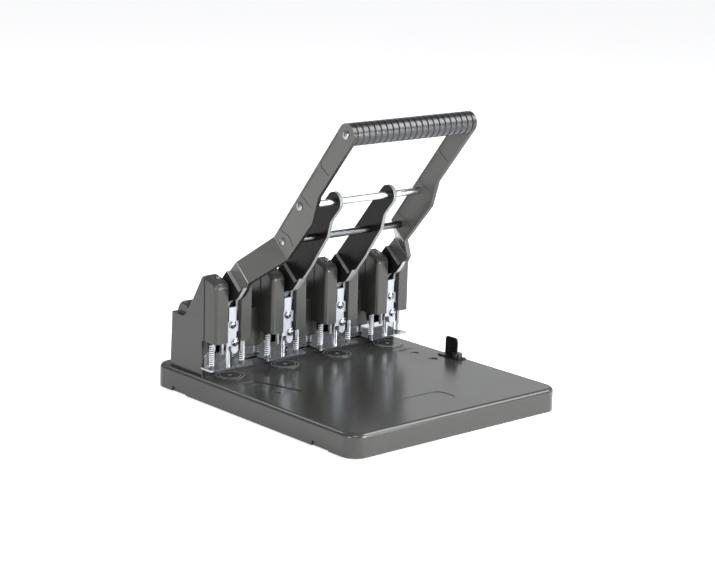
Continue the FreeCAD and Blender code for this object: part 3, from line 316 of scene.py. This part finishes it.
FINISHES = (
    COVER_ABS,
    ARM_COAT,
    SHADED_INNER_COAT,
    FOLD_HIGHLIGHT,
    PHOSPHATE,
    ENAMEL,
    NICKEL,
    ZINC,
    TOOL_STEEL,
    SPRING_WIRE,
    SHADED_ROD_STEEL,
    POLISHED_ROD,
    SATIN_NICKEL,
    DISC_HIGHLIGHT,
    DISC_NYLON,
    GRIP_RUBBER,
    FOOT_RUBBER,
    BLACK_PP,
    RECESS,
)


class PaintShop:
    """Builds every finish once and lays them on nodes and pieces."""

    join_gap = 0.002 * MM
    round_steps = 2
    round_angle = math.radians(35)

    def __init__(self) -> None:
        """Makes all the materials."""
        self.materials = {finish.name: finish.build() for finish in FINISHES}

    def coat(self, piece: bpy.types.Object, finish: Finish) -> None:
        """Gives a piece one finish all over."""
        if not piece.material_slots:
            piece.data.materials.append(self.materials[finish.name])
        for slot in piece.material_slots:
            slot.material = self.materials[finish.name]

    def soften(self, node: bpy.types.Object, width_mm: float) -> None:
        """Rounds a node's sharp edges slightly, as pressing and moulding leave them.

        Args:
            node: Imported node; its own mesh stays as it is.
            width_mm: Width of the rounding in millimetres.
        """
        weld = node.modifiers.new("join", "WELD")
        weld.merge_threshold = self.join_gap
        bevel = node.modifiers.new("round", "BEVEL")
        bevel.width = width_mm * MM
        bevel.segments = self.round_steps
        bevel.limit_method = "ANGLE"
        bevel.angle_limit = self.round_angle
        bevel.harden_normals = False
        bevel.use_clamp_overlap = True
        node.modifiers.new("even", "WEIGHTED_NORMAL").keep_sharp = False


@dataclass
class NodeDress:
    """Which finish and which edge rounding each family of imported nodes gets."""

    shop: PaintShop
    singles: dict[str, tuple[Finish, float]] = field(
        default_factory=lambda: {
            "base_cover": (COVER_ABS, 0.5),
            "base_plate": (ZINC, 0.2),
            "chip_tray": (BLACK_PP, 0.3),
            "feet": (FOOT_RUBBER, 0.5),
            "rear_housing": (COVER_ABS, 0.6),
            "frame_rail": (NICKEL, 0.25),
            "back_stop": (ENAMEL, 0.25),
            "pivot_pins": (ZINC, 0.3),
            "guide_posts": (SHADED_ROD_STEEL, 0.15),
            "upper_rod": (POLISHED_ROD, 0.2),
            "lower_rod": (SHADED_ROD_STEEL, 0.2),
            "grip_bar": (ZINC, 0.2),
            "grip": (GRIP_RUBBER, 0.25),
            "handle_screws": (NICKEL, 0.1),
            "paper_guide": (ENAMEL, 0.2),
            "guide_screw": (BLACK_PP, 0.2),
        }
    )
    families: dict[str, tuple[Finish, float]] = field(
        default_factory=lambda: {
            "die_disc": (DISC_NYLON, 0.15),
            "stripper_plate": (NICKEL, 0.2),
            "head_frame": (ZINC, 0.2),
            "head_cover": (COVER_ABS, 0.5),
            "return_springs": (SPRING_WIRE, 0.0),
            "carriage": (PHOSPHATE, 0.2),
            "punch_pin": (TOOL_STEEL, 0.1),
            "front_bar": (SATIN_NICKEL, 0.25),
            "bar_screws": (NICKEL, 0.1),
            "crank_plate": (PHOSPHATE, 0.25),
            "arm": (ARM_COAT, 0.4),
        }
    )

    def table(self) -> dict[str, tuple[Finish, float]]:
        """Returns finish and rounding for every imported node."""
        chosen = dict(self.singles)
        for family, pair in self.families.items():
            for number in HEAD_NUMBERS:
                chosen[f"{family}_{number}"] = pair
        # The inner arms get the arm coat with painted shade, and a painted highlight on its edges.
        for number in INNER_ARMS:
            chosen[f"arm_{number}"] = (SHADED_INNER_COAT, self.families["arm"][1])
        return chosen

    def apply(self) -> None:
        """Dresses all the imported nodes."""
        for name, (finish, width_mm) in self.table().items():
            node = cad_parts[name]
            self.shop.coat(node, finish)
            if width_mm > 0:
                self.shop.soften(node, width_mm)
            LOG.info("node %s: %s", name, finish.name)


def head_place(number: int) -> float:
    """Returns where a head stands along X."""
    return (number - (len(HEAD_NUMBERS) + 1) / 2) * HEAD_PITCH


def turned(profile: list[Pair], segments: int) -> bmesh.types.BMesh:
    """Turns a profile about Z.

    Args:
        profile: Radius and height of each ring, from the axis outwards and back.
        segments: Number of steps round the axis.

    Returns:
        A new mesh with its ends closed where the radius is zero.
    """
    shape = bmesh.new()
    rings = []
    for radius, height in profile:
        if radius == 0:
            rings.append([shape.verts.new((0, 0, height))])
            continue
        steps = (math.tau * step / segments for step in range(segments))
        rings.append([shape.verts.new((radius * math.cos(a), radius * math.sin(a), height)) for a in steps])
    for inner, outer in zip(rings, rings[1:]):
        for step in range(segments):
            after = (step + 1) % segments
            corners = [inner[step % len(inner)], outer[step % len(outer)]]
            for ring in (outer, inner):
                corner = ring[after % len(ring)]
                if corner not in corners:
                    corners.append(corner)
            if len(corners) > 2:
                shape.faces.new(corners)
    bmesh.ops.recalc_face_normals(shape, faces=shape.faces)
    return shape


@dataclass
class PieceBench:
    """Turns meshes into named pieces that ride on a body."""

    shop: PaintShop

    def add(
        self,
        name: str,
        shape: bmesh.types.BMesh,
        place: Matrix,
        finish: Finish,
        body: str,
        slot: str,
        smooth: bool = True,
    ) -> bpy.types.Object:
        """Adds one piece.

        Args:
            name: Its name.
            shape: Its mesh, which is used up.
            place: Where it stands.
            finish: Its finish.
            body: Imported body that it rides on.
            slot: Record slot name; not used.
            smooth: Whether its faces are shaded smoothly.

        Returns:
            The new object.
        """
        shape.transform(place)
        mesh = bpy.data.meshes.new(name)
        shape.to_mesh(mesh)
        shape.free()
        for face in mesh.polygons:
            face.use_smooth = smooth
        piece = bpy.data.objects.new(name, mesh)
        bpy.context.scene.collection.objects.link(piece)
        self.shop.coat(piece, finish)
        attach(piece, body)
        return piece


def facing(place: Point, outward: Point, turn: float = 0.0) -> Matrix:
    """Returns a placing whose Z looks outward.

    Args:
        place: Origin.
        outward: Direction of the new Z.
        turn: Turn about it in radians.
    """
    tilt = Vector(outward).to_track_quat("Z", "Y").to_matrix().to_4x4()
    return Matrix.Translation(place) @ tilt @ Matrix.Rotation(turn, 4, "Z")


@dataclass
class CrossRecess:
    """Cross in a domed screw's head, laid on the dome with its walls going in."""

    reach: float = 2.3 * MM
    half_width: float = 0.42 * MM
    depth: float = 0.4 * MM
    proud: float = 0.03 * MM
    middle_share: float = 0.6

    def shape(self, radius: float, height: float) -> bmesh.types.BMesh:
        """Makes the cross for a dome.

        Args:
            radius: Rim radius of the head.
            height: Full height of the head; the dome takes its outer half.
        """
        rise = height / 2
        ball = (radius * radius + rise * rise) / height

        def lifted(x: float, y: float) -> Point:
            """Lifts a point onto the dome."""
            drop = ball - math.sqrt(ball * ball - x * x - y * y)
            return x, y, height - drop + self.proud

        half = self.half_width
        stations = (half, self.reach * self.middle_share, self.reach)
        shape = bmesh.new()
        corners = ((half, -half), (half, half), (-half, half), (-half, -half))
        centre = [shape.verts.new(lifted(x, y)) for x, y in corners]
        shape.faces.new(centre)
        for quarter in range(4):
            before = (centre[quarter], centre[(quarter + 1) % 4])
            turn = Matrix.Rotation(math.tau * quarter / 4, 2)
            for along in stations[1:]:
                pair = [turn @ Vector((along, side * half)) for side in (-1, 1)]
                after = tuple(shape.verts.new(lifted(point.x, point.y)) for point in pair)
                shape.faces.new((before[0], after[0], after[1], before[1]))
                before = after
        floor = bmesh.ops.extrude_face_region(shape, geom=list(shape.faces))
        low = [item for item in floor["geom"] if isinstance(item, bmesh.types.BMVert)]
        bmesh.ops.translate(shape, verts=low, vec=(0, 0, -self.depth))
        bmesh.ops.recalc_face_normals(shape, faces=shape.faces)
        return shape


@dataclass
class ScrewCrosses:
    """Cross recesses of the front bars' and the handle's screws."""

    bench: PieceBench
    bar_front: float = 73.7 * MM
    bar_places: tuple[Pair, ...] = ((0.0, 88.8 * MM), (3.5 * MM, 67.5 * MM))
    bar_head: Pair = (4.5 * MM, 2.6 * MM)
    rod_places: tuple[Pair, ...] = (
        (-2.07 * MM, 233.24 * MM),
        (27.06 * MM, 188.75 * MM),
        (-76.0 * MM, 322.0 * MM),
    )
    rod_head: Pair = (4.6 * MM, 2.4 * MM)
    arm_faces: Pair = (-88.0 * MM, 93.0 * MM)
    bar_turn: float = 0.5
    rod_turn: float = 0.7

    def build(self) -> None:
        """Adds a cross to every domed screw."""
        cross = CrossRecess()
        for number in HEAD_NUMBERS:
            for index, (aside, height) in enumerate(self.bar_places):
                spot = (head_place(number) + aside, self.bar_front, height)
                place = facing(spot, Axis.FRONT.value, self.bar_turn + index)
                shape = cross.shape(*self.bar_head)
                name = f"bar_screw_cross_{number}_{index + 1}"
                self.bench.add(name, shape, place, RECESS, f"punch_{number}", "polished_steel", False)
        for index, (y, z) in enumerate(self.rod_places):
            for x, outward in zip(self.arm_faces, (Axis.LEFT, Axis.RIGHT)):
                place = facing((x, y, z), outward.value, self.rod_turn * index)
                shape = cross.shape(*self.rod_head)
                name = f"rod_screw_cross_{outward.name.lower()}_{index + 1}"
                self.bench.add(name, shape, place, RECESS, "handle", "polished_steel", False)


@dataclass
class CoverScrews:
    """Small pan-head screws sunk in the tops of the covers' lobes, beside the slot."""

    bench: PieceBench
    aside: float = 14.2 * MM
    place_y: float = 83.0 * MM
    place_z: float = 142.75 * MM
    lean: Point = (0.0, -0.262, 0.965)
    turn: float = 0.4
    head_radius: float = 2.5 * MM
    head_height: float = 1.5 * MM
    dome_shares: tuple[Pair, ...] = ((0.45, 0.94), (0.8, 0.75), (1.0, 0.45))
    well_radius: float = 3.8 * MM
    well_flat_share: float = 0.9
    well_proud: float = 0.06 * MM
    well_rim: float = 0.02 * MM
    sink: float = 0.2 * MM
    steps: int = 24
    cross_reach: float = 1.4 * MM
    cross_half_width: float = 0.25 * MM
    cross_depth: float = 0.3 * MM

    def build(self) -> None:
        """Adds a screw, its cross and its shaded well to both lobes of every head."""
        radius, height, well = self.head_radius, self.head_height, self.well_radius
        cross = CrossRecess(self.cross_reach, self.cross_half_width, self.cross_depth)
        dome = [(0, height), *((radius * out, height * up) for out, up in self.dome_shares)]
        dome += [(radius, -self.sink), (0, -self.sink)]
        ring = [(0, self.well_proud), (well * self.well_flat_share, self.well_proud), (well, self.well_rim)]
        ring += [(well, -self.sink), (0, -self.sink)]
        for number in HEAD_NUMBERS:
            for side, mark in ((-1, "left"), (1, "right")):
                x = head_place(number) + side * self.aside
                place = facing((x, self.place_y, self.place_z), self.lean, self.turn * number)
                name = f"cover_screw_{number}_{mark}"
                self.bench.add(name, turned(dome, self.steps), place, NICKEL, "root", "polished_steel")
                shape = turned(ring, self.steps)
                self.bench.add(f"{name}_well", shape, place, RECESS, "root", "housing_plastic", False)
                shape = cross.shape(radius, height)
                self.bench.add(f"{name}_cross", shape, place, RECESS, "root", "polished_steel", False)


@dataclass
class FoldHighlightStrips:
    """Pale strips along the folds of the outer arms: painted highlights where the bends catch the light."""

    bench: PieceBench
    half_width: float = 0.8 * MM
    proud: float = 0.06 * MM
    shoulder: Pair = (0.5, 0.8)
    upper_ends: tuple[Pair, Pair] = ((41.6 * MM, 191.0 * MM), (19.4 * MM, 169.6 * MM))
    lower_ends: tuple[Pair, Pair] = ((68.4 * MM, 161.6 * MM), (46.6 * MM, 142.1 * MM))
    faces: tuple[Pair, Pair] = ((-88.0 * MM, -120.0 * MM), (88.0 * MM, 120.0 * MM))

    def build(self) -> None:
        """Adds a strip on both folds of both outer arms' left faces."""
        for (upper_x, lower_x), mark in zip(self.faces, ("left", "right")):
            self.strip(f"fold_upper_{mark}", upper_x, self.upper_ends)
            self.strip(f"fold_lower_{mark}", lower_x, self.lower_ends)

    def strip(self, name: str, x: float, ends: tuple[Pair, Pair]) -> None:
        """Adds one strip with a low round back.

        Args:
            name: Its name.
            x: Face that it lies on.
            ends: Its two ends in Y and Z.
        """
        start, end = (Vector((x, y, z)) for y, z in ends)
        across = (end - start).cross(Vector((1, 0, 0))).normalized() * self.half_width
        lift = Vector((-self.proud, 0, 0))
        out, up = self.shoulder
        shape = bmesh.new()
        rows = []
        for point in (start, end):
            offsets = (-across, -across * out + lift * up, lift, across * out + lift * up, across, -lift)
            rows.append([shape.verts.new(point + offset) for offset in offsets])
        for step in range(len(rows[0])):
            after = (step + 1) % len(rows[0])
            shape.faces.new((rows[0][step], rows[0][after], rows[1][after], rows[1][step]))
        for row in rows:
            shape.faces.new(row)
        bmesh.ops.recalc_face_normals(shape, faces=shape.faces)
        self.bench.add(name, shape, Matrix.Identity(4), FOLD_HIGHLIGHT, "handle", "arm_paint")


@dataclass
class DiscHighlightRings:
    """Pale rings on the cutting discs: painted highlights along the rim, an inner ring and the centre."""

    bench: PieceBench
    place_y: float = 76.9 * MM
    top: float = 29.2 * MM
    proud: float = 0.07 * MM
    steps: int = 56
    rings: tuple[Pair, ...] = ((15.9 * MM, 16.5 * MM), (12.2 * MM, 12.6 * MM), (1.3 * MM, 2.1 * MM))

    def build(self) -> None:
        """Adds the rings to every disc."""
        high, low = self.proud, -2 * self.proud
        for number in HEAD_NUMBERS:
            place = Matrix.Translation((head_place(number), self.place_y, self.top))
            for index, (near, far) in enumerate(self.rings):
                band = [(near, low), (near, high), (far, high), (far, low), (near, low)]
                name = f"disc_ring_{number}_{index + 1}"
                shape = turned(band, self.steps)
                self.bench.add(name, shape, place, DISC_HIGHLIGHT, "root", "disc_plastic", False)


@dataclass
class CoilSprings:
    """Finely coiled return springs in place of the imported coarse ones."""

    bench: PieceBench
    aside: float = 21.5 * MM
    place_y: float = 83.5 * MM
    low: float = 40.7 * MM
    high: float = 67.0 * MM
    coil_radius: float = 2.65 * MM
    wire_radius: float = 0.55 * MM
    turns: int = 10
    turn_steps: int = 20
    wire_steps: int = 8
    pressed_share: float = 0.711

    def build(self) -> None:
        """Adds a pair of springs to every head."""
        for number in HEAD_NUMBERS:
            x = head_place(number)
            shape = bmesh.new()
            for side in (-1, 1):
                self.coil(shape, x + side * self.aside)
            name = f"fine_springs_{number}"
            piece = self.bench.add(name, shape, Matrix.Identity(4), SPRING_WIRE, "root", "spring_steel")
            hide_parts(f"return_springs_{number}")
            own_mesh(piece)

    def coil(self, shape: bmesh.types.BMesh, x: float) -> None:
        """Adds one coil of wire that stands at x."""
        steps = self.turns * self.turn_steps
        foot = self.low + self.wire_radius
        climb = self.high - self.wire_radius - foot
        before = None
        for step in range(steps + 1):
            angle = math.tau * step / self.turn_steps
            out = Vector((math.cos(angle), math.sin(angle), 0))
            centre = Vector((x, self.place_y, foot + climb * step / steps)) + out * self.coil_radius
            ring = []
            for side in range(self.wire_steps):
                turn = math.tau * side / self.wire_steps
                offset = out * math.cos(turn) + Vector((0, 0, 1)) * math.sin(turn)
                ring.append(shape.verts.new(centre + offset * self.wire_radius))
            if before:
                for side in range(self.wire_steps):
                    after = (side + 1) % self.wire_steps
                    shape.faces.new((before[side], before[after], ring[after], ring[side]))
            else:
                shape.faces.new(ring[::-1])
            before = ring
        shape.faces.new(before)


@dataclass(frozen=True)
class SoftLight:
    """One square soft light: where it stands, the point that it faces, its side and its power."""

    name: str
    place: Point
    target: Point
    size: float
    watts: float

    def build(self) -> None:
        """Adds the light."""
        data = bpy.data.lights.new(self.name, "AREA")
        data.size = self.size
        data.energy = self.watts
        lamp = bpy.data.objects.new(self.name, data)
        lamp.location = self.place
        aim = Vector(self.target) - Vector(self.place)
        lamp.rotation_euler = aim.to_track_quat("-Z", "Y").to_euler()
        bpy.context.scene.collection.objects.link(lamp)


SOFT_LIGHTS = (
    # Over the camera's shoulder: the base's top and all that looks up.
    SoftLight("key", (-1.1, -1.5, 1.7), (0, 0, 0.1), 0.9, 20),
    # Low on the left: the arms' and the housing's left faces.
    SoftLight("left", (-2.4, -0.6, 0.4), (0, 0, 0.1), 1.0, 26),
    # Low in front: the covers' fronts, the bars and the front skirt.
    SoftLight("fill", (0.9, -2.3, 0.25), (0, 0, 0.1), 1.0, 100),
    # High on the right, where the grip's ribs and the base's front edge mirror it.
    SoftLight("strip", (1.22, -1.0, 1.43), (0, 0, 0.3), 1.1, 34),
    # Behind: a thin light along the upper edges on the left.
    SoftLight("rim", (-0.5, 1.5, 1.5), (0, 0, 0.1), 0.5, 5),
    # Far right: the sheen that the base's top mirrors at its right side.
    SoftLight("sheen", (2.05, 1.45, 0.95), (0, 0, 0.03), 1.2, 3),
)


@dataclass
class Studio:
    """Pale floor, soft lights and a camera at the photograph's angle.

    The Standard view keeps the pale floor white and the dark mouldings deep, as the photograph has them.
    """

    eye: Point = (-1.40671, -1.59100, 0.6336)
    azimuth_deg: float = -41.50
    elevation_deg: float = 13.19
    roll_deg: float = 1.61
    lens: float = 96.85
    sensor: float = 36.0
    clip_end: float = 50.0
    floor_size: float = 40.0
    floor_colour: str = "#f4f4f4"
    floor_roughness: float = 0.9
    floor_glow: float = 0.6
    world_colour: str = "#fafbff"
    world_strength: float = 0.36
    horizon_strength: float = 0.95
    horizon_fade: Pair = (0.07, 0.17)
    view: str = "Standard"

    def camera(self) -> None:
        """Adds the camera with the fitted place, turn and lens."""
        turn = math.radians(self.azimuth_deg)
        rise = math.radians(self.elevation_deg)
        roll = math.radians(self.roll_deg)
        back = Vector((math.sin(turn) * math.cos(rise), -math.cos(turn) * math.cos(rise), math.sin(rise)))
        right = Vector((0, 0, 1)).cross(back).normalized()
        up = back.cross(right)
        tilted_right = right * math.cos(roll) + up * math.sin(roll)
        tilted_up = -right * math.sin(roll) + up * math.cos(roll)
        data = bpy.data.cameras.new("studio_camera")
        data.lens = self.lens
        data.sensor_width = self.sensor
        data.clip_end = self.clip_end
        camera = bpy.data.objects.new("studio_camera", data)
        bpy.context.scene.collection.objects.link(camera)
        turned_frame = Matrix((tilted_right, tilted_up, back)).transposed().to_4x4()
        camera.matrix_world = Matrix.Translation(self.eye) @ turned_frame
        bpy.context.scene.camera = camera

    def floor(self) -> None:
        """Adds the pale floor, which is not part of the object."""
        mesh = bpy.data.meshes.new("floor")
        shape = bmesh.new()
        bmesh.ops.create_grid(shape, x_segments=1, y_segments=1, size=self.floor_size / 2)
        shape.to_mesh(mesh)
        shape.free()
        floor = bpy.data.objects.new("floor", mesh)
        bpy.context.scene.collection.objects.link(floor)
        material = bpy.data.materials.new("floor_paper")
        material.use_nodes = True
        shader = material.node_tree.nodes["Principled BSDF"]
        shader.inputs["Base Color"].default_value = linear(self.floor_colour)
        shader.inputs["Roughness"].default_value = self.floor_roughness
        shader.inputs["Emission Color"].default_value = linear(WHITE)
        shader.inputs["Emission Strength"].default_value = self.floor_glow
        mesh.materials.append(material)

    def surroundings(self) -> None:
        """Adds pale surroundings that brighten towards the horizon, as a curved paper background does."""
        world = bpy.data.worlds.new("studio_air")
        bpy.context.scene.world = world
        world.use_nodes = True
        tree = world.node_tree
        sky = tree.nodes["Background"]
        sky.inputs["Color"].default_value = linear(self.world_colour)
        way = add_node(tree, "ShaderNodeTexCoord").outputs["Generated"]
        height = add_node(tree, "ShaderNodeSeparateXYZ", inputs={0: way}).outputs["Z"]
        near, far = self.horizon_fade
        fade = {"Value": height, "From Min": near, "From Max": far}
        fade |= {"To Min": self.horizon_strength, "To Max": self.world_strength}
        strength = add_node(tree, "ShaderNodeMapRange", {"interpolation_type": "SMOOTHSTEP"}, fade)
        tree.links.new(strength.outputs["Result"], sky.inputs["Strength"])

    def build(self) -> None:
        """Builds the whole studio."""
        self.floor()
        self.camera()
        self.surroundings()
        bpy.context.scene.view_settings.view_transform = self.view
        for light in SOFT_LIGHTS:
            light.build()
        LOG.info("studio ready")


def main() -> None:
    """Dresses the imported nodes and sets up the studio."""
    logging.basicConfig(level=logging.INFO)
    shop = PaintShop()
    NodeDress(shop).apply()
    bench = PieceBench(shop)
    for group in (ScrewCrosses, CoverScrews, FoldHighlightStrips, DiscHighlightRings, CoilSprings):
        group(bench).build()
        LOG.info("pieces: %s", group.__name__)
    Studio().build()


if __name__ == "__main__":
    main()
